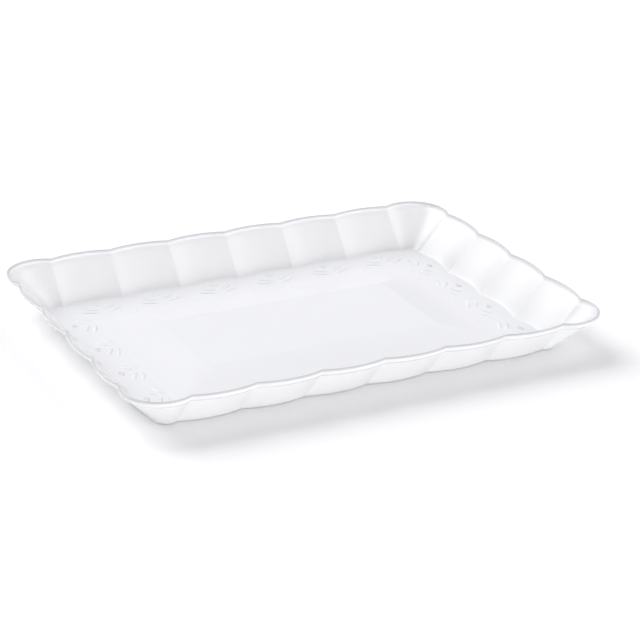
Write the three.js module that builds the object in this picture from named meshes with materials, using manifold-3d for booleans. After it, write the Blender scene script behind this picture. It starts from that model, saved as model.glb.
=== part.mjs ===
// A scalloped serving tray, moulded in one skin: a flat border with leaf sprigs in low relief,
// a raised middle, and a leaning wall of bowed panels that ends in a ledge and an upturned lip.
// Millimetres. The origin is the middle of the underside, +X runs along the length, +Z is up.
import * as THREE from "three";
import { mergeVertices } from "three/addons/utils/BufferGeometryUtils.js";
import Module from "manifold-3d";

// Wall: panels between cusps, the same pitch at the foot and at the rim.
const PANEL_PITCH = 42.6;
const LONG_PANELS = 6;
const SHORT_PANELS = 4;
const PANEL_BOW = 3.4; // how far a panel bulges past the line between its two cusps
const END_MARGIN = 33.7; // at the rim, from the last long-side cusp out to the short side
const SIDE_MARGIN = 31.2; // at the rim, from the last short-side cusp out to the long side
const CORNER_HALF_ANGLE = THREE.MathUtils.degToRad(74); // half of the arc that rounds a corner fan

// Section of the skin, from the foot to the lip.
const HEIGHT = 27.5;
const SKIN = 1.2;
const FLARE = 22.8; // how far the rim stands out past the foot
const FOOT_RADIUS = 2; // inside the tray, between floor and wall
const LEDGE_WIDTH = 2.6;
const LEDGE_RISE = 1.9;
const LIP_HEIGHT = 3.4;
const LIP_LEAN = 0.6;

// Floor: border, slope and raised middle.
const BORDER_WIDTH = 21.7; // from the foot of the wall to the foot of the slope
const SLOPE_WIDTH = 34;
const SLOPE_BEND = 0.4; // share of the slope's width that bends up before it runs straight
const MIDDLE_RISE = 3.4;
const SLOPE_FOOT_RADIUS = 10; // corners of the slope's foot
const MIDDLE_RADIUS = 3; // corners of the raised middle

// Leaf sprigs on the border: two pairs of leaves from one root, and a bud towards the wall.
const END_SPRIG_PITCH = 40;
const ROOT_FROM_WALL = 20.3;
const BUD_FROM_WALL = 8.4;
const DOT_FROM_WALL = 24.7;
const STEM_HEIGHTS = [0, 4.4]; // of the leaves' joints, from the root towards the wall
const STEM_GAPS = [2.2, 1.2];
const LEAF_ANGLES = [24, 33].map(THREE.MathUtils.degToRad);
const LEAF_LENGTHS = [15.3, 13];
const PETAL_SPREAD = THREE.MathUtils.degToRad(34);
const PETAL_LENGTH = 5;
const PETAL_GAP = 0.6;
const LEAF_WIDTH = 2.8;
const PETAL_WIDTH = 1.5;
const DOT_RADIUS = 1.1;
const RELIEF = 0.6;
const DOT_RELIEF = 0.4;
const SINK = 0.1; // how far a leaf's edge lies below the floor's face

// Facets.
const PANEL_STEPS = 6;
const CORNER_STEPS = 12;
const FOOT_STEPS = 2;
const SLOPE_BEND_STEPS = 4;
const MIDDLE_CORNER_STEPS = 3;
const LEAF_STEPS = 4;
const LEAF_SIDES = 4;
const DOT_SIDES = 6;
const DOT_STEPS = 4;
const OVERCUT = 2; // how far a cutter runs past the face that it opens

const wasm = await Module();
wasm.setup();

const vector = (x, y) => new THREE.Vector2(x, y);

// Half of the wall's length and width at its cusps, a given distance in from the rim.
function halfSizes(inset) {
  return vector(
    (LONG_PANELS / 2) * PANEL_PITCH + END_MARGIN - inset,
    (SHORT_PANELS / 2) * PANEL_PITCH + SIDE_MARGIN - inset,
  );
}

// Points from a up to, but without, b on an arc that bulges to the right of the way from a to b.
function arc(a, b, halfAngle, steps) {
  const chord = b.clone().sub(a);
  const out = vector(chord.y, -chord.x).normalize();
  const radius = chord.length() / 2 / Math.sin(halfAngle);
  const centre = a.clone().lerp(b, 0.5).addScaledVector(out, -radius * Math.cos(halfAngle));
  return Array.from({ length: steps }, (_, i) => {
    const turn = halfAngle * ((2 * i) / steps - 1);
    return centre.clone().add(out.clone().multiplyScalar(radius).rotateAround(vector(0, 0), turn));
  });
}

// The tray's outline, anticlockwise, a given distance in from the rim.
function outline(inset) {
  const half = halfSizes(inset);
  const side = (panels, place) =>
    Array.from({ length: panels + 1 }, (_, i) => place((i - panels / 2) * PANEL_PITCH));
  const sides = [
    side(SHORT_PANELS, (t) => vector(half.x, t)),
    side(LONG_PANELS, (t) => vector(-t, half.y)),
    side(SHORT_PANELS, (t) => vector(-half.x, -t)),
    side(LONG_PANELS, (t) => vector(t, -half.y)),
  ];
  const panelHalfAngle = 2 * Math.atan((2 * PANEL_BOW) / PANEL_PITCH);
  return sides.flatMap((cusps, i) => [
    ...cusps.slice(1).flatMap((cusp, j) => arc(cusps[j], cusp, panelHalfAngle, PANEL_STEPS)),
    ...arc(cusps.at(-1), sides[(i + 1) % 4][0], CORNER_HALF_ANGLE, CORNER_STEPS),
  ]);
}

// Unit normal of a section's side, up and into the tray. A section's x is its distance in from the rim.
function skinNormal(from, to) {
  const way = to.clone().sub(from).normalize();
  return vector(way.y, -way.x);
}

// The wall's two ends on its outer face, foot and crease, and its angle from the floor.
function wallLine() {
  const foot = vector(FLARE, 0);
  const crease = vector(LIP_LEAN + LEDGE_WIDTH, HEIGHT - LIP_HEIGHT - LEDGE_RISE);
  return { foot, crease, angle: Math.atan2(crease.y, foot.x - crease.x) };
}

// The section's corners from foot to lip, on the outer face, with its foot rounded.
function outerSection() {
  const { foot, crease, angle } = wallLine();
  const radius = FOOT_RADIUS + SKIN;
  const start = foot.x + radius * Math.tan(angle / 2);
  const bend = Array.from({ length: FOOT_STEPS + 1 }, (_, i) => {
    const turn = (angle * i) / FOOT_STEPS;
    return vector(start - radius * Math.sin(turn), radius * (1 - Math.cos(turn)));
  });
  return [...bend, crease, vector(LIP_LEAN, HEIGHT - LIP_HEIGHT), vector(0, HEIGHT)];
}

// The inner face's section: each corner moved in along its bisector by the skin, and on past the lip.
function innerSection(outer) {
  const moved = outer.map((corner, i) => {
    const before = i ? skinNormal(outer[i - 1], corner) : vector(0, 1);
    const after = i + 1 < outer.length ? skinNormal(corner, outer[i + 1]) : before;
    const bisector = before.clone().add(after);
    return corner.clone().addScaledVector(bisector, SKIN / (1 + before.dot(after)));
  });
  const lipWay = outer.at(-1).clone().sub(outer.at(-2)).normalize();
  return [...moved, moved.at(-1).clone().addScaledVector(lipWay, OVERCUT)];
}

// Half sizes of the flat floor at its cusps, where it would meet the wall's inner face without a bend.
function floorHalfSizes() {
  const { foot, angle } = wallLine();
  return halfSizes(foot.x + SKIN * Math.tan(angle / 2));
}

const raise = (points, z) => points.map((p) => new THREE.Vector3(p.x, p.y, z));

// A closed solid through rings of equal length, each anticlockwise, from the lowest up.
function loft(rings) {
  const count = rings[0].length;
  const top = (rings.length - 1) * count;
  const faces = [];
  for (let level = 0; level + 1 < rings.length; level++) {
    for (let i = 0; i < count; i++) {
      const a = level * count + i;
      const b = level * count + ((i + 1) % count);
      faces.push(a, b, b + count, a, b + count, a + count);
    }
  }
  const cap = (ring) => THREE.ShapeUtils.triangulateShape(ring.map((p) => vector(p.x, p.y)), []);
  for (const [a, b, c] of cap(rings[0])) faces.push(a, c, b);
  for (const [a, b, c] of cap(rings.at(-1))) faces.push(top + a, top + b, top + c);
  return new THREE.BufferGeometry().setFromPoints(rings.flat()).setIndex(faces);
}

// The geometry as a solid that can be joined and cut, without faces that a pole has closed to a line.
function solidOf(geometry) {
  const bare = geometry.clone();
  bare.deleteAttribute("normal");
  bare.deleteAttribute("uv");
  const merged = mergeVertices(bare);
  const index = Array.from(merged.index.array);
  const triVerts = [];
  for (let i = 0; i < index.length; i += 3) {
    const [a, b, c] = index.slice(i, i + 3);
    if (a !== b && b !== c && a !== c) triVerts.push(a, b, c);
  }
  return new wasm.Manifold(
    new wasm.Mesh({
      numProp: 3,
      vertProperties: Float32Array.from(merged.attributes.position.array),
      triVerts: Uint32Array.from(triVerts),
    }),
  );
}

// Wall, lip and flat floor: the outer form less the space inside.
function shell() {
  const outer = outerSection();
  const form = loft(outer.map((corner) => raise(outline(corner.x), corner.y)));
  const inside = loft(innerSection(outer).map((corner) => raise(outline(corner.x), corner.y)));
  return solidOf(form).subtract(solidOf(inside));
}

// A rectangle with rounded corners, anticlockwise.
function roundedRectangle(half, radius) {
  return [0, 1, 2, 3].flatMap((corner) =>
    Array.from({ length: MIDDLE_CORNER_STEPS + 1 }, (_, i) => {
      const angle = (Math.PI / 2) * (corner + i / MIDDLE_CORNER_STEPS);
      const right = corner % 3 ? -1 : 1;
      const back = corner < 2 ? 1 : -1;
      return vector(
        right * (half.x - radius) + radius * Math.cos(angle),
        back * (half.y - radius) + radius * Math.sin(angle),
      );
    }),
  );
}

// How far up the slope a share of its width lies: it bends up from flat, then runs straight.
function slopeRise(share) {
  const bent = Math.min(share, SLOPE_BEND);
  return ((bent * bent) / (2 * SLOPE_BEND) + share - bent) / (1 - SLOPE_BEND / 2);
}

// The raised middle over a floor at height z, with a skirt below.
function raisedMiddle(z, skirt) {
  const foot = floorHalfSizes().addScalar(-BORDER_WIDTH);
  const ring = (share, height) => {
    const half = foot.clone().addScalar(-SLOPE_WIDTH * share);
    const radius = THREE.MathUtils.lerp(SLOPE_FOOT_RADIUS, MIDDLE_RADIUS, share);
    return raise(roundedRectangle(half, radius), height);
  };
  const bend = Array.from({ length: SLOPE_BEND_STEPS + 1 }, (_, i) => (i * SLOPE_BEND) / SLOPE_BEND_STEPS);
  const slope = [...bend, 1].map((share) => ring(share, z + MIDDLE_RISE * slopeRise(share)));
  return solidOf(loft([ring(0, z - skirt), ...slope]));
}

// A leaf lying on the floor: a flattened spindle that starts a gap away from a point on the Y axis.
function leaf(length, width, angle, rootY, gap) {
  const profile = Array.from({ length: LEAF_STEPS + 1 }, (_, i) => {
    const share = i / LEAF_STEPS;
    return vector((width / 2) * Math.sin(Math.PI * share), gap + length * share);
  });
  return new THREE.LatheGeometry(profile, LEAF_SIDES)
    .scale(1, 1, (RELIEF + SINK) / (width / 2))
    .rotateZ(angle - Math.PI / 2)
    .translate(0, rootY, SKIN - SINK);
}

// One sprig, with +Y towards the wall and its origin at the floor's edge.
function sprig() {
  const leaves = LEAF_ANGLES.flatMap((angle, i) =>
    [angle, Math.PI - angle].map((way) =>
      leaf(LEAF_LENGTHS[i], LEAF_WIDTH, way, STEM_HEIGHTS[i] - ROOT_FROM_WALL, STEM_GAPS[i]),
    ),
  );
  const petals = [-1, 0, 1].map((side) =>
    leaf(PETAL_LENGTH, PETAL_WIDTH, Math.PI / 2 + side * PETAL_SPREAD, -BUD_FROM_WALL, PETAL_GAP),
  );
  return [...leaves, ...petals];
}

// The round dot between two sprigs.
function dot() {
  return new THREE.SphereGeometry(DOT_RADIUS, DOT_SIDES, DOT_STEPS)
    .rotateX(Math.PI / 2)
    .scale(1, 1, (DOT_RELIEF + SINK) / DOT_RADIUS)
    .translate(0, -DOT_FROM_WALL, SKIN - SINK);
}

// All the relief: a sprig for each panel of a side, and a dot between each two.
function relief() {
  const edge = floorHalfSizes();
  const long = { count: LONG_PANELS, pitch: PANEL_PITCH, reach: edge.y };
  const end = { count: SHORT_PANELS, pitch: END_SPRIG_PITCH, reach: edge.x };
  return [long, end, long, end].flatMap(({ count, pitch, reach }, side) => {
    const place = (geometry, along) =>
      geometry.translate((along - (count - 1) / 2) * pitch, reach, 0).rotateZ((side * Math.PI) / 2);
    return Array.from({ length: count }, (_, i) => [
      ...sprig().map((piece) => place(piece, i)),
      ...(i ? [place(dot(), i - 1 / 2)] : []),
    ]).flat();
  });
}

function tray() {
  const floor = shell().add(raisedMiddle(SKIN, SKIN / 2)).subtract(raisedMiddle(0, OVERCUT));
  const whole = relief().reduce((solid, piece) => solid.add(solidOf(piece)), floor);
  const { numProp, vertProperties, triVerts } = whole.getMesh();
  const positions = new THREE.BufferAttribute(vertProperties, numProp);
  const geometry = new THREE.BufferGeometry()
    .setAttribute("position", positions)
    .setIndex(new THREE.BufferAttribute(triVerts, 1));
  geometry.computeVertexNormals();
  const plastic = new THREE.MeshStandardMaterial({ color: 0xeeeef4, roughness: 0.22, metalness: 0 });
  const mesh = new THREE.Mesh(geometry, plastic);
  mesh.name = "tray";
  return mesh;
}

const model = new THREE.Group();
model.add(tray());

export default model;
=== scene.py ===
"""A scalloped serving tray: its fine skin with a rounded lip, its leaf sprigs, and a plain studio."""

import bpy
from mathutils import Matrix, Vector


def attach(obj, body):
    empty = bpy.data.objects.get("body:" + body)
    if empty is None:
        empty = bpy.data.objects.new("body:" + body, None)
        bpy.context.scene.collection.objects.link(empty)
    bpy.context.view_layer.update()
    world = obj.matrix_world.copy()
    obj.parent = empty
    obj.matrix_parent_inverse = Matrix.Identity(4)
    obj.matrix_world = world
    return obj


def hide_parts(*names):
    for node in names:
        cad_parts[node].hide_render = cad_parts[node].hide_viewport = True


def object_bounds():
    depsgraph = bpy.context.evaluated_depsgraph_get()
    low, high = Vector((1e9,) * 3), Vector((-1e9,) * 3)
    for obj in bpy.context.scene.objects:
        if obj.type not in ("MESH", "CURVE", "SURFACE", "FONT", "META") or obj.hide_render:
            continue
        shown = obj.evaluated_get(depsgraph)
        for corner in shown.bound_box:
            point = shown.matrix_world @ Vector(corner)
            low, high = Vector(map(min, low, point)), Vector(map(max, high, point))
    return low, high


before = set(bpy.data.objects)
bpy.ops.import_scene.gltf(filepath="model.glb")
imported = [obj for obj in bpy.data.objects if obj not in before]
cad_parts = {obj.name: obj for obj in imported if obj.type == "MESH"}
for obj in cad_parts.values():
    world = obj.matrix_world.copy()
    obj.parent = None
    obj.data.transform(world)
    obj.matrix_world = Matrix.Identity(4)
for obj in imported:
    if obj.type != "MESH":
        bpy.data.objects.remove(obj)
CAD_BOX = [list(map(float, corner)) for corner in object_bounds()]

import math

import bpy
import numpy as np
from mathutils import Matrix, Vector

bl_info = {
    "name": "Scalloped Serving Tray",
    "version": (1, 0, 0),
    "blender": (4, 5, 0),
    "location": "View3D > Sidebar > Tray",
    "description": "Moulds a scalloped serving tray, its leaf sprigs and a plain studio",
    "category": "Add Mesh",
}

MM = 0.001
NODE = "tray"
BODY = "root"
PLASTIC = "white_moulded_plastic"

# Steps of the section's three bends, of its wall and of the lip's half circle, and of the slope's bend and
# its straight part.
SECTION_BEND_STEPS = (10, 4, 6)
WALL_STEPS = 7
LIP_STEPS = 8
SLOPE_BEND_STEPS = 13
SLOPE_STRAIGHT_STEPS = 5

# Noise textures of the plastic, and the values between which most of a noise lies.
WAVE_NOISE = {"Detail": 1.5, "Roughness": 0.35}
GRAIN_NOISE = {"Detail": 2.0, "Roughness": 0.5}
PATCH_NOISE = {"Detail": 3.0, "Roughness": 0.6}
PATCHES_PER_WAVE = 0.4
NOISE_LOW, NOISE_HIGH = 0.3, 0.7

# Soft boxes round the tray, in degrees: azimuth to the right of the front, half width, elevation and
# half height.
SOFT_BOXES = {
    "back_box": (180, 66, 40, 24),
    "back_left_box": (-150, 30, 56, 12),
    "left_low_box": (-145, 28, 34, 9),
    "back_low_box": (-165, 18, 16, 12),
    "front_box": (0, 58, 13, 18),
    "right_box": (82, 26, 40, 16),
}

# How far the camera sees, in metres.
CAMERA_REACH = 100.0


def length(name, description, millimetres):
    """A length property, its default given in millimetres."""
    return bpy.props.FloatProperty(
        name=name,
        description=description,
        default=millimetres * MM,
        min=0.0,
        precision=5,
        unit="LENGTH",
        subtype="DISTANCE",
    )


def angle(name, description, degrees):
    """An angle property, its default given in degrees."""
    return bpy.props.FloatProperty(
        name=name, description=description, default=math.radians(degrees), unit="ROTATION", subtype="ANGLE"
    )


def count(name, description, default):
    """A property that counts things."""
    return bpy.props.IntProperty(name=name, description=description, default=default, min=1)


def share(name, description, default):
    """A property from 0 to 1."""
    return bpy.props.FloatProperty(
        name=name, description=description, default=default, min=0.0, max=1.0, subtype="FACTOR"
    )


def strength(name, description, default):
    """A property for how strong a light is."""
    return bpy.props.FloatProperty(name=name, description=description, default=default, min=0.0)


def colour(name, description, default):
    """A colour property."""
    return bpy.props.FloatVectorProperty(
        name=name, description=description, default=default, size=3, min=0.0, max=1.0, subtype="COLOR"
    )


class TRAY_PG_skin(bpy.types.PropertyGroup):
    """Sizes of the moulded skin."""

    panel_pitch: length("Panel Pitch", "Distance between two cusps of the wall", 42.6)
    long_panels: count("Long Side Panels", "Panels on each long side", 6)
    short_panels: count("Short Side Panels", "Panels on each short side", 4)
    panel_bow: length("Panel Bow", "How far a panel bulges past the line between its cusps", 3.4)
    corner_half_angle: angle("Corner Half Angle", "Half of the arc that rounds a corner fan", 74)
    cusp_gap: length("Cusp Gap", "Width of the softened line at a cusp", 0.7)
    thickness: length("Thickness", "Thickness of the skin", 1.2)
    flare: length("Flare", "How far the rim stands out past the foot", 22.8)
    foot_radius: length("Foot Radius", "Bend between floor and wall, inside the tray", 2.0)
    ledge_width: length("Ledge Width", "Width of the ledge under the lip", 2.6)
    ledge_rise: length("Ledge Rise", "Rise of the ledge", 1.9)
    lip_height: length("Lip Height", "Height of the upturned lip", 3.4)
    lip_lean: length("Lip Lean", "How far the lip leans out", 0.6)
    # The bead's height and fade also bound the painted shade on the lip's edge.
    bead: length("Bead", "Height of the dense edge of the lip", 1.3)
    bead_fade: length("Bead Fade", "Height over which the edge turns into the thin skin", 0.3)
    floor_fade: length("Floor Fade", "Distance over which the dense floor turns into the thin wall", 3.0)
    crease_radius: length("Crease Radius", "Bend of the creases beside the ledge, at mid-skin", 1.0)
    border_width: length("Border Width", "Flat floor from the wall to the slope", 21.7)
    slope_width: length("Slope Width", "Width of the slope round the raised middle", 34)
    slope_bend: share("Slope Bend", "Share of the slope's width that bends up before it runs straight", 0.4)
    slope_foot_radius: length("Slope Foot Radius", "Corners of the slope's foot", 10.0)
    middle_rise: length("Middle Rise", "Height of the raised middle over the border", 3.4)
    middle_radius: length("Middle Radius", "Corners of the raised middle", 3.0)
    support: length("Support", "Half width of the softened crease round the raised middle", 0.4)
    foot_step: length("Foot Step", "Height of the fine step at the slope's foot", 0.1)


class TRAY_PG_sprigs(bpy.types.PropertyGroup):
    """Sizes of the leaf sprigs."""

    end_pitch: length("End Pitch", "Distance between sprigs on a short side", 40.0)
    root_from_wall: length("Root From Wall", "Where the leaves start, in from the wall", 20.3)
    bud_from_wall: length("Bud From Wall", "Where the petals start, in from the wall", 8.4)
    dot_from_wall: length("Dot From Wall", "Centre of the dots, in from the wall", 24.7)
    outer_gap: length("Outer Gap", "From the root to where an outer leaf starts", 2.2)
    inner_gap: length("Inner Gap", "From its joint to where an inner leaf starts", 1.2)
    inner_joint: length("Inner Joint", "From the root to the joint of the inner leaves", 4.4)
    outer_leaf: length("Outer Leaf", "Length of the outer leaves", 15.3)
    inner_leaf: length("Inner Leaf", "Length of the inner leaves", 13.0)
    outer_leaf_angle: angle("Outer Leaf Angle", "Between the wall's line and an outer leaf", 24)
    inner_leaf_angle: angle("Inner Leaf Angle", "Between the wall's line and an inner leaf", 33)
    leaf_width: length("Leaf Width", "Width of a leaf", 2.8)
    petal: length("Petal", "Length of a petal", 5.0)
    petal_width: length("Petal Width", "Width of a petal", 1.5)
    petal_gap: length("Petal Gap", "From the bud's base to where a petal starts", 0.6)
    petal_spread: angle("Petal Spread", "Angle between two petals", 34)
    dot_radius: length("Dot Radius", "Radius of a dot", 1.1)
    relief: length("Relief", "Height of the sprigs over the border", 0.6)
    dot_relief: length("Dot Relief", "Height of the dots over the border", 0.4)
    sink: length("Sink", "How far a leaf's edge lies below the border's face", 0.1)


class TRAY_PG_finish(bpy.types.PropertyGroup):
    """Colour and gloss of the plastic, and the painted shade on the edge of its lip."""

    base: colour("Plastic", "Colour of the plastic", (0.942, 0.945, 0.955))
    shade: colour("Plastic Shade", "Colour of its slightly duller patches", (0.922, 0.925, 0.937))
    # Painted shade: this darker colour stands for the shade on the lip's edge, laid on where the attribute
    # bead is one.
    bead_shade_colour: colour("Bead Shade", "Colour of the dense edge of the lip", (0.70, 0.70, 0.72))
    roughness_low: share("Roughness Low", "Roughness of the glossiest patches", 0.14)
    roughness_high: share("Roughness High", "Roughness of the dullest patches", 0.22)
    glow: share("Subsurface", "Share of the light that scatters inside the skin", 1.0)
    glow_depth: length("Scatter Depth", "How far light scatters in the plastic", 9.0)
    wave: length("Wave", "Size of the faint waves that moulding leaves", 38.0)
    wave_height: length("Wave Height", "Height of those waves", 0.035)
    grain: length("Grain", "Size of the finest unevenness of the gloss", 2.2)
    grain_height: length("Grain Height", "Height of that unevenness", 0.0015)
    ior: bpy.props.FloatProperty(name="IOR", description="Refractive index", default=1.49, min=1.0, max=2.0)


class TRAY_PG_stage(bpy.types.PropertyGroup):
    """Camera, world and table."""

    azimuth: angle("Azimuth", "Camera's turn to the right of the front", -27.77)
    elevation: angle("Elevation", "Camera's height angle", 23.32)
    roll: angle("Roll", "Camera's tilt about its view", 1.57)
    distance: length("Distance", "From the camera to its target", 1397.7)
    target_x: length("Target X", "Target, along the tray", 19.6)
    target_y: length("Target Y", "Target, across the tray", 7.63)
    lens: bpy.props.FloatProperty(
        name="Lens",
        description="Focal length",
        default=119.13,
        min=1.0,
        unit="CAMERA",
        subtype="DISTANCE_CAMERA",
    )
    floor_size: length("Floor Size", "Side of the floor", 12000)
    table: colour("Table", "Colour of the table", (0.95, 0.95, 0.95))
    table_lit: share("Table Lit", "Part of the seen table's white that shadows take away", 1.0)
    table_glow: share("Table Glow", "Part of the seen table's white that stays", 0.07)
    sky: strength("Sky", "Strength of the dim sky between the soft boxes", 0.245)
    back_box: strength("Back Box", "Strength of the wide soft box behind the tray", 0.49)
    back_low_box: strength("Back Low Box", "Strength of the low soft box behind the tray", 1.2)
    back_left_box: strength("Back Left Box", "Strength of the soft box behind and to the left", 3.18)
    left_low_box: strength("Left Low Box", "Strength of the lower soft box behind and to the left", 3.75)
    front_box: strength("Front Box", "Strength of the low soft box in front", 1.4)
    right_box: strength("Right Box", "Strength of the soft box at the right", 1.51)
    light_tint: colour("Light Tint", "Colour of the sky and the soft boxes", (0.98, 0.98, 1.0))
    box_edge: angle("Box Edge", "Fade at the edges of the soft boxes", 5)


class TRAY_PG_tray(bpy.types.PropertyGroup):
    """Everything that the tray is made from."""

    skin: bpy.props.PointerProperty(type=TRAY_PG_skin)
    sprigs: bpy.props.PointerProperty(type=TRAY_PG_sprigs)
    finish: bpy.props.PointerProperty(type=TRAY_PG_finish)
    stage: bpy.props.PointerProperty(type=TRAY_PG_stage)


def settings():
    """The tray's properties in the open scene."""
    return bpy.context.scene.serving_tray


def unit(vectors):
    """Vectors of length one."""
    return vectors / np.linalg.norm(vectors, axis=-1, keepdims=True)


def mesh_object(name, points, faces):
    """A smooth-shaded object from an array of points and a list of faces."""
    mesh = bpy.data.meshes.new(name)
    mesh.from_pydata(points.reshape(-1, 3).tolist(), [], faces)
    mesh.shade_smooth()
    made = bpy.data.objects.new(name, mesh)
    bpy.context.scene.collection.objects.link(made)
    return made


def ring_faces(rows, around):
    """Quads between neighbouring rows of a grid whose last column meets its first. They face right of
    the way that the rows go, where each row runs anticlockwise."""
    row, column = np.meshgrid(np.arange(rows - 1), np.arange(around), indexing="ij")
    here = row * around + column
    beside = row * around + (column + 1) % around
    return np.stack([here, beside, beside + around, here + around], axis=-1).reshape(-1, 4)


class Columns:
    """The tray's columns, anticlockwise: each lies a share of the way along the arc between two cusps.
    Cusps stand a panel's pitch apart on each side. A fan joins the last cusp of a side to the first of
    the next. Two close columns on each side of a cusp, as many half gaps from it as beside_cusp says,
    keep its line narrow."""

    side_steps = 18
    fan_steps = 40
    beside_cusp = (1.0, 2.5)

    def __init__(self, skin, half):
        inward, tangent, along, reach, span = [], [], [], [], []
        for quarter, panels in enumerate((skin.short_panels, skin.long_panels) * 2):
            turn = quarter * math.pi / 2
            out = np.round([math.cos(turn), math.sin(turn)], 9)
            steps = np.arange(panels + 1) - panels / 2
            inward += [-out] * (panels + 1)
            tangent += [(-out[1], out[0])] * (panels + 1)
            along += list(steps * skin.panel_pitch)
            reach += [half[quarter % 2]] * (panels + 1)
            span += [panels / 2 * skin.panel_pitch] * (panels + 1)
        inward, tangent = np.array(inward), np.array(tangent, float)
        along, reach, span = np.array(along), np.array(reach), np.array(span)
        cusp = -inward * reach[:, None] + tangent * along[:, None]
        following = np.roll(np.arange(len(cusp)), -1)
        fan = np.isclose((inward * inward[following]).sum(1), 0)
        ends = skin.cusp_gap / 2 / skin.panel_pitch * np.array(self.beside_cusp)
        shares = {
            kind: np.concatenate([ends, np.linspace(0, 1, steps + 1)[1:-1], 1 - ends[::-1]])
            for kind, steps in ((False, self.side_steps), (True, self.fan_steps))
        }
        kinds = fan.tolist()
        first = np.concatenate([[i] * len(shares[kind]) for i, kind in enumerate(kinds)])
        self.share = np.concatenate([shares[kind] for kind in kinds])
        second = following[first]
        self.fan = fan[first]
        self.a, self.b = cusp[first], cusp[second]
        self.a_in, self.b_in = inward[first], inward[second]
        self.a_tangent, self.b_tangent = tangent[first], tangent[second]
        self.a_place, self.b_place = (along / span)[first], (along / span)[second]
        bow = 2 * math.atan(2 * skin.panel_bow / skin.panel_pitch)
        self.half_angle = np.where(self.fan, skin.corner_half_angle, bow)
        self.around = len(self.share)

    def outlines(self, inset):
        """Points of the scalloped outline at each inset from the rim. With cusps a and b, and out at
        right angles to the chord between them, a point is the arc's centre plus its radius times out,
        turned by the point's share of the arc."""
        inset = np.asarray(inset, float)[:, None, None]
        a, b = self.a + inset * self.a_in, self.b + inset * self.b_in
        chord = b - a
        size = np.linalg.norm(chord, axis=-1, keepdims=True)
        out = np.stack([chord[..., 1], -chord[..., 0]], axis=-1) / size
        radius = size / 2 / np.sin(self.half_angle)[None, :, None]
        centre = (a + b) / 2 - out * radius * np.cos(self.half_angle)[None, :, None]
        turn = self.half_angle * (2 * self.share - 1)
        cos, sin = np.cos(turn), np.sin(turn)
        turned = np.stack(
            [out[..., 0] * cos - out[..., 1] * sin, out[..., 0] * sin + out[..., 1] * cos], axis=-1
        )
        return centre + radius * turned

    def rectangles(self, half, radius):
        """Points of rounded rectangles with the same columns. A straight side spreads its cusps evenly
        up to where the corners start, and a fan's columns turn a quarter circle about the corner's
        centre."""
        half, radius = np.asarray(half, float), np.asarray(radius, float)[:, None, None]
        straight = half[:, None, :] - radius

        def cusps(inward, tangent, place):
            return -inward * half[:, None, :] + tangent * straight * place[None, :, None]

        a = cusps(self.a_in, self.a_tangent, self.a_place)
        b = cusps(self.b_in, self.b_tangent, self.b_place)
        flat = a + (b - a) * self.share[None, :, None]
        centre = -(self.a_in + self.b_in) * straight
        start = np.arctan2(-self.a_in[:, 1], -self.a_in[:, 0]) + self.share * math.pi / 2
        bent = centre + radius * np.stack([np.cos(start), np.sin(start)], axis=-1)
        return np.where(self.fan[None, :, None], bent, flat)


def lift(plan, heights):
    """Plan outlines, one for each height, as points in space."""
    heights = np.asarray(heights, float)[:, None, None]
    return np.concatenate([plan, np.broadcast_to(heights, plan.shape[:2] + (1,))], axis=-1)


def section_corners(skin, height):
    """Corners of the outer face's section, from foot to lip, as insets from the rim and heights."""
    lip_foot = height - skin.lip_height
    return np.array([
        (skin.flare, 0.0),
        (skin.lip_lean + skin.ledge_width, lip_foot - skin.ledge_rise),
        (skin.lip_lean, lip_foot),
        (0.0, height),
    ])


def section_normals(corners):
    """Unit normals, up and into the tray, of the floor and of each straight part of the section."""
    ways = unit(np.diff(corners, axis=0))
    return np.vstack([(0.0, 1.0), np.column_stack([ways[:, 1], -ways[:, 0]])])


def skin_section(skin, height):
    """The section's middle line and its normals, from the floor to the lip. It runs through the outer
    corners moved in by half the skin. On each bend the normal turns evenly from one straight part's to
    the next, and the line lies a radius from the bend's centre against it. The lip's last rows lie just
    below its dense edge, so that the edge fades out there, and where its half circle starts."""
    corners = section_corners(skin, height)
    normals = section_normals(corners)
    half = skin.thickness / 2
    radii = (skin.foot_radius + half, skin.crease_radius, skin.crease_radius)
    line, facing = [], []
    for i, (radius, steps) in enumerate(zip(radii, SECTION_BEND_STEPS)):
        before, after = normals[i], normals[i + 1]
        bisector = (before + after) / (1 + before @ after)
        first, last = math.atan2(before[1], before[0]), math.atan2(after[1], after[0])
        side = math.copysign(1, first - last)
        centre = corners[i] + bisector * (half + side * radius)
        turn = np.linspace(first, last, steps + 1)
        bend = np.column_stack([np.cos(turn), np.sin(turn)])
        line.append(centre - side * radius * bend)
        facing.append(bend)
    wall = np.linspace(0, 1, WALL_STEPS + 1)[1:-1, None]
    line.insert(1, line[0][-1] + (line[1][0] - line[0][-1]) * wall)
    facing.insert(1, np.repeat(normals[1][None], len(wall), axis=0))
    way = unit(corners[3] - corners[2])
    end = corners[3] + normals[3] * half
    end = end - way * (end[1] + half - height) / way[1]
    below_bead = skin.bead + skin.bead_fade - half
    drops = np.array([[below_bead + skin.bead_fade], [below_bead], [0.0]])
    line.append(end - way * drops)
    facing.append(np.repeat(normals[3][None], len(drops), axis=0))
    return np.vstack(line), np.vstack(facing)


def slope_rises(across, bend):
    """Heights at parts of the way across the slope, each a part of its whole rise. Up to the bend's end
    it is the part's square over twice the bend's part, and from there it goes straight on. One less
    half the bend divides all of it, so that the slope ends at its whole rise."""
    bent = np.minimum(across, bend)
    return (bent**2 / (2 * bend) + across - bent) / (1 - bend / 2)


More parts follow.
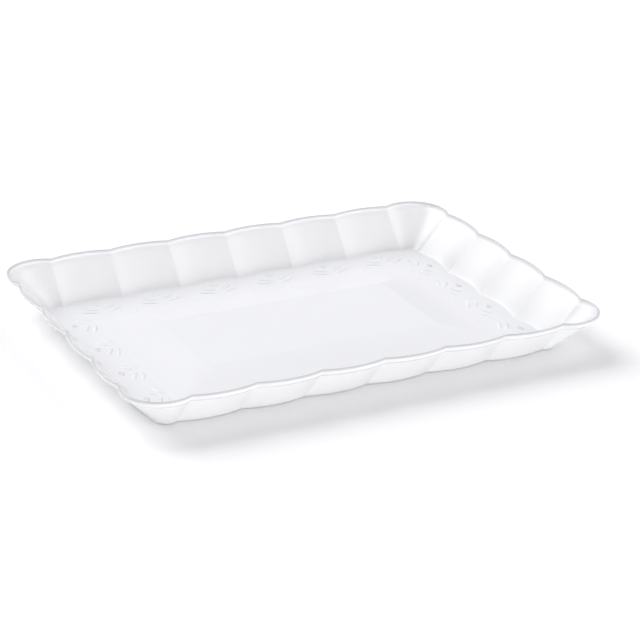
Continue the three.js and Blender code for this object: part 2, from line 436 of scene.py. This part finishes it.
def skin_rings(skin, columns, height):
    """Every row of the skin, from the middle of its underside out, over the lip, and in to the middle
    of its floor. The wall's rows are the middle line moved half the skin along its normals, and a half
    circle closes the lip. Pairs of close rows keep the creases at the slope's foot and round the middle
    narrow, and a fine step marks the foot."""
    line, facing = skin_section(skin, height)
    half = skin.thickness / 2
    way = np.array([-facing[-1][1], facing[-1][0]])
    round_lip = np.linspace(0, math.pi, LIP_STEPS + 1)[1:-1, None]
    lip = line[-1] + half * (np.sin(round_lip) * way - np.cos(round_lip) * facing[-1])
    profile = np.vstack([line - half * facing, lip, (line + half * facing)[::-1]])
    wall = lift(columns.outlines(profile[:, 0]), profile[:, 1])

    foot = floor_half_sizes(skin, height) - skin.border_width
    edge = skin.support / skin.slope_width
    foot_rows = [-3 * edge, -edge, edge]
    bend = np.linspace(0, skin.slope_bend, SLOPE_BEND_STEPS + 1)[1:]
    straight = np.linspace(skin.slope_bend, 1 - edge, SLOPE_STRAIGHT_STEPS + 1)[1:]
    middle_rows = [1 + edge, 1 + 2 * edge]
    across = np.concatenate([foot_rows, bend[bend > 3 * edge], straight, middle_rows])
    held = np.clip(across, 0, 1)
    radius = skin.slope_foot_radius + (skin.middle_radius - skin.slope_foot_radius) * held
    rise = skin.middle_rise * slope_rises(held, skin.slope_bend)
    slope = columns.rectangles(foot[None] - across[:, None] * skin.slope_width, radius)
    step = skin.foot_step * np.clip((across + edge) / (2 * edge), 0, 1) * (1 - held)
    floor = lift(slope, skin.thickness + rise + step)
    return np.concatenate([lift(slope, rise)[::-1], wall, floor])


def skin_shares(skin, rings, height):
    """The attributes bead and dense of each point. Bead is one on the edge of the lip, where the plastic
    is given a painted shade, and fades out below it. Dense is one there and on the floor, and fades out
    where a row reaches past the floor's edge."""
    over = rings[..., 2] - (height - skin.bead - skin.bead_fade)
    bead = np.clip(over / skin.bead_fade, 0, 1)
    reach = np.abs(rings[..., 0]).max(axis=1, keepdims=True)
    past = reach - floor_half_sizes(skin, height)[0] - skin.panel_bow
    floor = np.clip(1 - past / skin.floor_fade, 0, 1)
    return bead.ravel(), np.maximum(bead, floor).ravel()


def floor_half_sizes(skin, height):
    """Half sizes, at the cusps, of the floor inside the wall's foot."""
    normals = section_normals(section_corners(skin, height))
    bend = math.acos(normals[0] @ normals[1])
    return rim_half_sizes(skin) - skin.flare - skin.thickness * math.tan(bend / 2)


def rim_half_sizes(skin):
    """Half sizes of the rim at its cusps: the tray's box without the bulge of its panels."""
    return np.array(CAD_BOX[1][:2]) - skin.panel_bow


def almond(size, width, depth, start, heading, steps=12, around=12):
    """A leaf along a line at a heading. Its half width is half the full width times the sine of pi
    times the part of its length that lies behind, and each cross-section is an ellipse."""
    part = np.linspace(0, 1, steps + 1)[:, None]
    turn = np.linspace(0, 2 * math.pi, around, endpoint=False)[None]
    wide = np.sin(math.pi * part)
    wide[0] = wide[-1] = 0
    side = width / 2 * wide * np.cos(turn)
    high = depth * wide * np.sin(turn)
    reach = start + size * part + 0 * turn
    x = reach * math.cos(heading) - side * math.sin(heading)
    y = reach * math.sin(heading) + side * math.cos(heading)
    return np.stack([x, y, high], axis=-1)


def closed_grid(grid):
    """Points and faces of a grid of rings whose first and last rings each shrink to one point."""
    rows, around = grid.shape[:2]
    middle = grid[1:-1]
    points = np.vstack([middle.reshape(-1, 3), grid[0, :1], grid[-1, :1]])
    first, last = len(points) - 2, len(points) - 1
    here = np.arange(around)
    beside = (here + 1) % around
    end = (rows - 3) * around
    caps = np.concatenate([
        np.column_stack([beside, here, np.full(around, first)]),
        np.column_stack([here + end, beside + end, np.full(around, last)]),
    ])
    return points, ring_faces(rows - 2, around).tolist() + caps.tolist()


def sprig_pieces(sprigs):
    """The grids of one sprig, with the wall towards +Y and the floor's edge at the origin."""
    depth = sprigs.relief + sprigs.sink
    root = np.array([0, -sprigs.root_from_wall, 0])
    bud = np.array([0, -sprigs.bud_from_wall, 0])
    joint = root + [0, sprigs.inner_joint, 0]
    leaves = [
        almond(size, sprigs.leaf_width, depth, gap, way) + base
        for base, gap, size, turn in (
            (root, sprigs.outer_gap, sprigs.outer_leaf, sprigs.outer_leaf_angle),
            (joint, sprigs.inner_gap, sprigs.inner_leaf, sprigs.inner_leaf_angle),
        )
        for way in (turn, math.pi - turn)
    ]
    petals = [
        almond(sprigs.petal, sprigs.petal_width, depth, sprigs.petal_gap, way) + bud
        for way in math.pi / 2 + sprigs.petal_spread * np.array([-1, 0, 1])
    ]
    return leaves + petals


def dot_grid(sprigs, steps=8, around=16):
    """The flattened ball between two sprigs: its radius and height are a circle's sine and cosine."""
    turn = np.linspace(0, math.pi, steps + 1)[:, None]
    about = np.linspace(0, 2 * math.pi, around, endpoint=False)[None]
    wide = np.sin(turn)
    wide[0] = wide[-1] = 0
    x = sprigs.dot_radius * wide * np.cos(about)
    y = sprigs.dot_radius * wide * np.sin(about) - sprigs.dot_from_wall
    high = -(sprigs.dot_relief + sprigs.sink) * np.cos(turn) + 0 * about
    return np.stack([x, y, high], axis=-1)


def border_relief(skin, sprigs, height):
    """Every grid of the relief in its place: a sprig for each panel of a side, a dot between each two."""
    floor_x, floor_y = floor_half_sizes(skin, height)
    base = skin.thickness - sprigs.sink
    grids = []
    long_side = (skin.long_panels, skin.panel_pitch, floor_y)
    short_side = (skin.short_panels, sprigs.end_pitch, floor_x)
    for quarter, (number, pitch, reach) in enumerate((long_side, short_side) * 2):
        turn = Matrix.Rotation(quarter * math.pi / 2, 3, "Z")
        spin = np.array(turn).T
        for place in (np.arange(number) - (number - 1) / 2) * pitch:
            grids += [(grid + [place, reach, base]) @ spin for grid in sprig_pieces(sprigs)]
        for place in (np.arange(number - 1) - (number - 2) / 2) * pitch:
            grids.append((dot_grid(sprigs) + [place, reach, base]) @ spin)
    return grids


def point_attribute(piece, name, values):
    """Store one number for each of a piece's points, for its material to read."""
    attribute = piece.data.attributes.new(name, "FLOAT", "POINT")
    attribute.data.foreach_set("value", values.astype(np.float32))


def joined(parts):
    """Points and faces of several meshes as one."""
    points, faces, start = [], [], 0
    for part_points, part_faces in parts:
        points.append(part_points)
        faces += [[corner + start for corner in face] for face in part_faces]
        start += len(part_points)
    return np.vstack(points), faces


def node(tree, kind, **values):
    """A new shader node. Values whose name starts with a capital go to the input of that name."""
    made = tree.nodes.new(kind)
    for name, value in values.items():
        if name[0].isupper():
            made.inputs[name.replace("_", " ")].default_value = value
        else:
            setattr(made, name, value)
    return made


def moulded_plastic(finish):
    """Glossy white plastic: faint waves from the mould, uneven gloss, a painted shade that darkens the
    lip's edge where the attribute bead is one, and light scattered inside it where the attribute dense is
    nought."""
    material = bpy.data.materials.get(PLASTIC) or bpy.data.materials.new(PLASTIC)
    material.use_nodes = True
    tree = material.node_tree
    tree.nodes.clear()
    link = tree.links.new
    place = node(tree, "ShaderNodeTexCoord")
    shader = node(
        tree,
        "ShaderNodeBsdfPrincipled",
        IOR=finish.ior,
        Subsurface_Radius=(1.0, 1.0, 1.0),
        Subsurface_Scale=finish.glow_depth,
    )
    output = node(tree, "ShaderNodeOutputMaterial")
    waves = node(tree, "ShaderNodeTexNoise", Scale=1 / finish.wave, **WAVE_NOISE)
    grain = node(tree, "ShaderNodeTexNoise", Scale=1 / finish.grain, **GRAIN_NOISE)
    patches = node(tree, "ShaderNodeTexNoise", Scale=PATCHES_PER_WAVE / finish.wave, **PATCH_NOISE)
    wave_bump = node(tree, "ShaderNodeBump", Strength=1.0, Distance=finish.wave_height)
    grain_bump = node(tree, "ShaderNodeBump", Strength=1.0, Distance=finish.grain_height)
    gloss = node(
        tree,
        "ShaderNodeMapRange",
        From_Min=NOISE_LOW,
        From_Max=NOISE_HIGH,
        To_Min=finish.roughness_low,
        To_Max=finish.roughness_high,
    )
    tint = node(tree, "ShaderNodeMixRGB", Color1=(*finish.base, 1), Color2=(*finish.shade, 1))
    bead = node(tree, "ShaderNodeAttribute", attribute_name="bead")
    # Painted shade: this mix darkens the plastic towards the bead shade colour on the lip's edge, where the
    # attribute bead is one.
    dense = node(tree, "ShaderNodeMixRGB", Color2=(*finish.bead_shade_colour, 1))
    solid = node(tree, "ShaderNodeAttribute", attribute_name="dense")
    thin = node(tree, "ShaderNodeMapRange", To_Min=finish.glow, To_Max=0.0)
    for texture in (waves, grain, patches):
        link(place.outputs["Object"], texture.inputs["Vector"])
    link(waves.outputs["Fac"], wave_bump.inputs["Height"])
    link(grain.outputs["Fac"], grain_bump.inputs["Height"])
    link(wave_bump.outputs["Normal"], grain_bump.inputs["Normal"])
    link(grain_bump.outputs["Normal"], shader.inputs["Normal"])
    link(patches.outputs["Fac"], gloss.inputs["Value"])
    link(gloss.outputs["Result"], shader.inputs["Roughness"])
    link(patches.outputs["Fac"], tint.inputs["Fac"])
    link(tint.outputs["Color"], dense.inputs["Color1"])
    link(bead.outputs["Fac"], dense.inputs["Fac"])
    link(dense.outputs["Color"], shader.inputs["Base Color"])
    link(solid.outputs["Fac"], thin.inputs["Value"])
    link(thin.outputs["Result"], shader.inputs["Subsurface Weight"])
    link(shader.outputs["BSDF"], output.inputs["Surface"])
    return material


def stage_floor_material(stage):
    """The table: plain white to every ray that lights the tray. To the camera it has a little steady
    glow as well, so that the open table is as white as the backdrop and its shadows stay soft."""
    material = bpy.data.materials.new("pale_table")
    material.use_nodes = True
    tree = material.node_tree
    tree.nodes.clear()
    link = tree.links.new
    ray = node(tree, "ShaderNodeLightPath")
    plain = node(tree, "ShaderNodeBsdfDiffuse", Color=(*stage.table, 1))
    lit = [stage.table_lit] * 3
    seen = node(tree, "ShaderNodeBsdfDiffuse", Color=(*lit, 1))
    glow = node(tree, "ShaderNodeEmission", Color=(1, 1, 1, 1), Strength=stage.table_glow)
    both = node(tree, "ShaderNodeAddShader")
    pick = node(tree, "ShaderNodeMixShader")
    output = node(tree, "ShaderNodeOutputMaterial")
    link(seen.outputs["BSDF"], both.inputs[0])
    link(glow.outputs["Emission"], both.inputs[1])
    link(ray.outputs["Is Camera Ray"], pick.inputs["Fac"])
    link(plain.outputs["BSDF"], pick.inputs[1])
    link(both.outputs["Shader"], pick.inputs[2])
    link(pick.outputs["Shader"], output.inputs["Surface"])
    return material


def calculated(tree, operation, *values):
    """The output of a Math node with numbers or other nodes' outputs as its inputs."""
    made = node(tree, "ShaderNodeMath", operation=operation)
    for socket, value in zip(made.inputs, values):
        if isinstance(value, (int, float)):
            socket.default_value = value
        else:
            tree.links.new(value, socket)
    return made.outputs[0]


def within(tree, distance, reach, edge):
    """One where a distance is under a reach, none past it, and a straight fade over an edge between."""
    start, end = reach - edge / 2, reach + edge / 2
    made = node(tree, "ShaderNodeMapRange", From_Min=start, From_Max=end, To_Min=1.0, To_Max=0.0)
    tree.links.new(distance, made.inputs["Value"])
    return made.outputs["Result"]


def studio_world(stage):
    """White to the camera. To all else it is a dim sky with soft boxes. A box fills the directions
    whose azimuth and elevation lie within its half width and half height of its centre, with a narrow
    fade at its edges."""
    world = bpy.data.worlds.new("white_studio")
    world.use_nodes = True
    tree = world.node_tree
    tree.nodes.clear()
    link = tree.links.new
    ray = node(tree, "ShaderNodeLightPath")
    place = node(tree, "ShaderNodeTexCoord")
    split = node(tree, "ShaderNodeSeparateXYZ")
    link(place.outputs["Generated"], split.inputs["Vector"])
    x, y, z = split.outputs
    azimuth = calculated(tree, "ARCTAN2", x, calculated(tree, "MULTIPLY", y, -1.0))
    elevation = calculated(tree, "ARCSINE", z)
    light = stage.sky
    for name, (turn, half_width, height, half_height) in SOFT_BOXES.items():
        apart = calculated(tree, "SUBTRACT", azimuth, math.radians(turn))
        apart = calculated(tree, "ABSOLUTE", calculated(tree, "WRAP", apart, math.pi, -math.pi))
        above = calculated(tree, "ABSOLUTE", calculated(tree, "SUBTRACT", elevation, math.radians(height)))
        across = within(tree, apart, math.radians(half_width), stage.box_edge)
        upright = within(tree, above, math.radians(half_height), stage.box_edge)
        inside = calculated(tree, "MULTIPLY", across, upright)
        light = calculated(tree, "ADD", light, calculated(tree, "MULTIPLY", inside, getattr(stage, name)))
    soft = node(tree, "ShaderNodeBackground", Color=(*stage.light_tint, 1))
    white = node(tree, "ShaderNodeBackground", Color=(1, 1, 1, 1), Strength=1.0)
    pick = node(tree, "ShaderNodeMixShader")
    output = node(tree, "ShaderNodeOutputWorld")
    link(light, soft.inputs["Strength"])
    link(ray.outputs["Is Camera Ray"], pick.inputs["Fac"])
    link(soft.outputs["Background"], pick.inputs[1])
    link(white.outputs["Background"], pick.inputs[2])
    link(pick.outputs["Shader"], output.inputs["Surface"])
    return world


def toward(azimuth, elevation):
    """Unit vector from the tray towards a point at an azimuth right of the front and an elevation."""
    level = math.cos(elevation)
    return Vector((math.sin(azimuth) * level, -math.cos(azimuth) * level, math.sin(elevation)))


def stage_table(stage):
    """The table, a level square through the origin."""
    reach = stage.floor_size / 2
    corners = np.array([(-reach, -reach, 0), (reach, -reach, 0), (reach, reach, 0), (-reach, reach, 0)])
    table = mesh_object("table", corners, [[0, 1, 2, 3]])
    table.data.materials.append(stage_floor_material(stage))
    return table


def stage_camera(stage):
    """The camera, a distance from its target and turned to face it, then tilted about its view."""
    lens = bpy.data.cameras.new("camera")
    lens.lens = stage.lens
    lens.clip_end = CAMERA_REACH
    camera = bpy.data.objects.new("camera", lens)
    bpy.context.scene.collection.objects.link(camera)
    back = toward(stage.azimuth, stage.elevation)
    right = Vector((0, 0, 1)).cross(back).normalized()
    up = back.cross(right)
    cos, sin = math.cos(stage.roll), math.sin(stage.roll)
    turned = Matrix((right * cos + up * sin, up * cos - right * sin, back)).transposed()
    camera.location = Vector((stage.target_x, stage.target_y, 0)) + back * stage.distance
    camera.rotation_euler = turned.to_euler()
    return camera


class TRAY_OT_skin(bpy.types.Operator):
    """Mould the tray's skin: floor, raised middle, scalloped wall and rounded lip."""

    bl_idname = "tray.skin"
    bl_label = "Tray Skin"

    def execute(self, context):
        skin = settings().skin
        height = CAD_BOX[1][2]
        columns = Columns(skin, rim_half_sizes(skin))
        rings = skin_rings(skin, columns, height)
        around = columns.around
        faces = ring_faces(len(rings), around).tolist()
        faces.append(list(range(around))[::-1])
        faces.append(list(range((len(rings) - 1) * around, len(rings) * around)))
        piece = mesh_object("tray_skin", rings, faces)
        for name, values in zip(("bead", "dense"), skin_shares(skin, rings, height)):
            point_attribute(piece, name, values)
        piece.data.materials.append(moulded_plastic(settings().finish))
        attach(piece, BODY)
        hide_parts(NODE)
        return {"FINISHED"}


class TRAY_OT_sprigs(bpy.types.Operator):
    """Raise the leaf sprigs and dots along the border."""

    bl_idname = "tray.sprigs"
    bl_label = "Leaf Sprigs"

    def execute(self, context):
        tray = settings()
        grids = border_relief(tray.skin, tray.sprigs, CAD_BOX[1][2])
        points, faces = joined([closed_grid(grid) for grid in grids])
        piece = mesh_object("leaf_sprigs", points, faces)
        point_attribute(piece, "dense", np.ones(len(points)))
        piece.data.materials.append(moulded_plastic(tray.finish))
        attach(piece, BODY)
        return {"FINISHED"}


class TRAY_OT_stage(bpy.types.Operator):
    """Set the table, the white world with its soft boxes, and the camera."""

    bl_idname = "tray.stage"
    bl_label = "Stage"

    def execute(self, context):
        stage = settings().stage
        scene = context.scene
        scene.view_settings.view_transform = "Standard"
        scene.world = studio_world(stage)
        stage_table(stage)
        scene.camera = stage_camera(stage)
        return {"FINISHED"}


class TRAY_PT_panel(bpy.types.Panel):
    """Lists the tray's sizes and the operators that make it."""

    bl_label = "Serving Tray"
    bl_idname = "TRAY_PT_panel"
    bl_space_type = "VIEW_3D"
    bl_region_type = "UI"
    bl_category = "Tray"

    def draw(self, context):
        layout = self.layout
        for title, group, operator in (
            ("Skin", settings().skin, TRAY_OT_skin),
            ("Sprigs", settings().sprigs, TRAY_OT_sprigs),
            ("Finish", settings().finish, None),
            ("Stage", settings().stage, TRAY_OT_stage),
        ):
            box = layout.box()
            box.label(text=title)
            for name in group.__annotations__:
                box.prop(group, name)
            if operator:
                box.operator(operator.bl_idname)


CLASSES = (
    TRAY_PG_skin,
    TRAY_PG_sprigs,
    TRAY_PG_finish,
    TRAY_PG_stage,
    TRAY_PG_tray,
    TRAY_OT_skin,
    TRAY_OT_sprigs,
    TRAY_OT_stage,
    TRAY_PT_panel,
)


def register():
    """Add the classes and the tray's properties to Blender."""
    for item in CLASSES:
        bpy.utils.register_class(item)
    bpy.types.Scene.serving_tray = bpy.props.PointerProperty(type=TRAY_PG_tray)


def unregister():
    """Take them away again."""
    del bpy.types.Scene.serving_tray
    for item in reversed(CLASSES):
        bpy.utils.unregister_class(item)


def main():
    """Make every piece and the stage."""
    register()
    bpy.ops.tray.skin()
    bpy.ops.tray.sprigs()
    bpy.ops.tray.stage()


if __name__ == "__main__":
    main()
